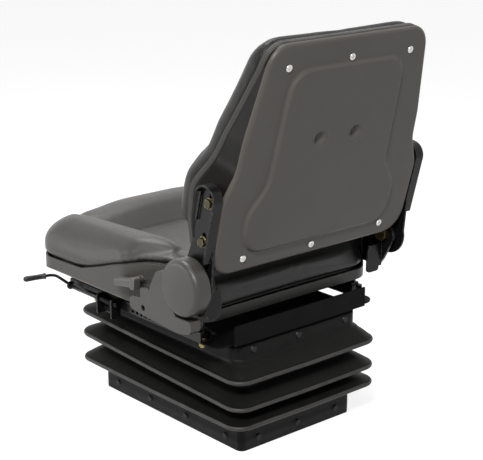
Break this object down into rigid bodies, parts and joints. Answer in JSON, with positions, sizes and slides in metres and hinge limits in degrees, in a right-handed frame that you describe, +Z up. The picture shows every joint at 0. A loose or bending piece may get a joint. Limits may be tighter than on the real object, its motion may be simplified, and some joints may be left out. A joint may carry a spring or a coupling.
{
  "type": "tractor suspension seat",
  "caption": "Tractor seat with a steel backed backrest, bolstered cushion on a pan, slide rails and a scissor suspension in a pleated rubber boot.",
  "frame": {"origin": "middle of the base's mounting face", "axes": "+Z up, -Y towards the front of the seat, +X towards the driver's left"},
  "size_m": [0.495, 0.604, 0.6957],
  "materials": {
    "shell_paint": "satin",
    "pan_paint": "satin",
    "frame_paint": "gloss",
    "rail_steel": "satin",
    "bright_steel": "satin",
    "yellow_zinc": "satin",
    "rod_chrome": "polished",
    "spring_steel": "satin",
    "seat_vinyl": "smooth coated cover over foam",
    "back_vinyl": "smooth coated cover over foam",
    "edge_trim": "matte",
    "cover_plastic": "satin",
    "grip_plastic": "satin",
    "boot_rubber": "satin",
    "clip_plastic": "satin"
  },
  "bodies": {
    "base": {"base_tray": "frame_paint", "lower_pivot_shaft": "bright_steel", "damper_body": "spring_steel", "damper_lower_pin": "bright_steel", "lower_clips": "clip_plastic", "boot": "boot_rubber", "coil_springs": "spring_steel", "travel_buffers": "boot_rubber"},
    "outer_scissor": {"outer_arms": "frame_paint", "centre_shaft": "bright_steel", "upper_roller_axle": "bright_steel"},
    "upper_rollers": {"upper_rollers": "grip_plastic"},
    "inner_scissor": {"inner_arms": "frame_paint", "lower_roller_axle": "bright_steel"},
    "lower_rollers": {"lower_rollers": "grip_plastic"},
    "suspended_frame": {"top_frame": "frame_paint", "upper_pivot_shaft": "bright_steel", "damper_rod": "rod_chrome", "damper_upper_pin": "bright_steel", "upper_clips": "clip_plastic", "left_fixed_rail": "rail_steel", "right_fixed_rail": "rail_steel", "rail_bolts": "yellow_zinc", "rail_nuts": "yellow_zinc"},
    "preload_knob": {"adjuster_spindle": "bright_steel", "adjuster_knob": "grip_plastic"},
    "preload_wedge": {"preload_wedge": "spring_steel"},
    "spring_plate": {"spring_plate": "frame_paint"},
    "seat": {"left_runner": "rail_steel", "right_runner": "rail_steel", "latch_bracket": "frame_paint", "seat_pan": "pan_paint", "seat_cushion": "seat_vinyl", "left_hinge_bracket": "frame_paint", "right_hinge_bracket": "frame_paint", "left_hinge_pin": "yellow_zinc", "right_hinge_pin": "yellow_zinc", "hinge_bushes": "bright_steel", "hinge_nuts": "yellow_zinc", "round_cover": "cover_plastic", "side_cover": "cover_plastic", "recline_lever_pin": "bright_steel"},
    "slide_lever": {"slide_lever": "frame_paint", "slide_lever_grip": "grip_plastic"},
    "recline_lever": {"recline_lever": "frame_paint", "recline_lever_grip": "grip_plastic"},
    "backrest": {"back_shell": "shell_paint", "back_screws": "bright_steel", "back_edge_trim": "edge_trim", "back_cushion": "back_vinyl", "left_back_arm": "frame_paint", "right_back_arm": "frame_paint", "arm_bolts": "yellow_zinc", "recline_sector": "frame_paint"}
  },
  "joints": [
    {"name": "suspension_travel", "type": "slide", "parent": "base", "child": "suspended_frame", "axis": [0, 0, 1], "range_m": [-0.06, 0], "stiffness_N_per_m": 12000, "springref_m": 0.05, "deforming": ["boot", "coil_springs"]},
    {"name": "outer_scissor_hinge", "type": "hinge", "parent": "base", "child": "outer_scissor", "pos_m": [0, 0.15, 0.016], "axis": [1, 0, 0], "range_deg": [0, 12.3]},
    {"name": "inner_scissor_hinge", "type": "hinge", "parent": "suspended_frame", "child": "inner_scissor", "pos_m": [0, 0.15, 0.172], "axis": [1, 0, 0], "range_deg": [-12.3, 0]},
    {"name": "upper_roller_spin", "type": "hinge", "parent": "outer_scissor", "child": "upper_rollers", "pos_m": [0, -0.1202, 0.172], "axis": [1, 0, 0], "range_deg": [-141, 0]},
    {"name": "lower_roller_spin", "type": "hinge", "parent": "inner_scissor", "child": "lower_rollers", "pos_m": [0, -0.1202, 0.016], "axis": [1, 0, 0], "range_deg": [0, 141]},
    {"name": "seat_slide", "type": "slide", "parent": "suspended_frame", "child": "seat", "axis": [0, 1, 0], "range_m": [-0.075, 0.075]},
    {"name": "backrest_recline", "type": "hinge", "parent": "seat", "child": "backrest", "pos_m": [0, 0.187, 0.313], "axis": [1, 0, 0], "range_deg": [-20, 8]},
    {"name": "slide_lever_lift", "type": "hinge", "parent": "seat", "child": "slide_lever", "pos_m": [0.197, 0, 0.21], "axis": [0, -1, 0], "range_deg": [0, 18], "stiffness_Nm_per_rad": 0.5, "springref_deg": -11.46},
    {"name": "recline_lever_lift", "type": "hinge", "parent": "seat", "child": "recline_lever", "pos_m": [0, 0.128, 0.31], "axis": [-1, 0, 0], "range_deg": [0, 12], "stiffness_Nm_per_rad": 1, "springref_deg": -14.32},
    {"name": "preload_knob_turn", "type": "hinge", "parent": "suspended_frame", "child": "preload_knob", "pos_m": [0, 0, 0.189], "axis": [0, 1, 0], "range_deg": [0, 541]},
    {"name": "preload_wedge_slide", "type": "slide", "parent": "suspended_frame", "child": "preload_wedge", "axis": [0, -1, 0], "range_m": [0, 0.012]},
    {"name": "spring_plate_lift", "type": "slide", "parent": "suspended_frame", "child": "spring_plate", "axis": [0, 0, -1], "range_m": [0, 0.0025], "stiffness_N_per_m": 60, "springref_m": -0.07, "deforming": ["coil_springs"]}
  ],
  "couplings": [
    {"joint": "outer_scissor_hinge", "follows": "suspension_travel", "rad_per_m": -3.52},
    {"joint": "inner_scissor_hinge", "follows": "suspension_travel", "rad_per_m": 3.52},
    {"joint": "upper_roller_spin", "follows": "suspension_travel", "rad_per_m": 40.55},
    {"joint": "lower_roller_spin", "follows": "suspension_travel", "rad_per_m": -40.55},
    {"joint": "preload_knob_turn", "follows": "preload_wedge_slide", "rad_per_m": 785.4},
    {"joint": "spring_plate_lift", "follows": "preload_wedge_slide", "ratio": 0.2}
  ]
}
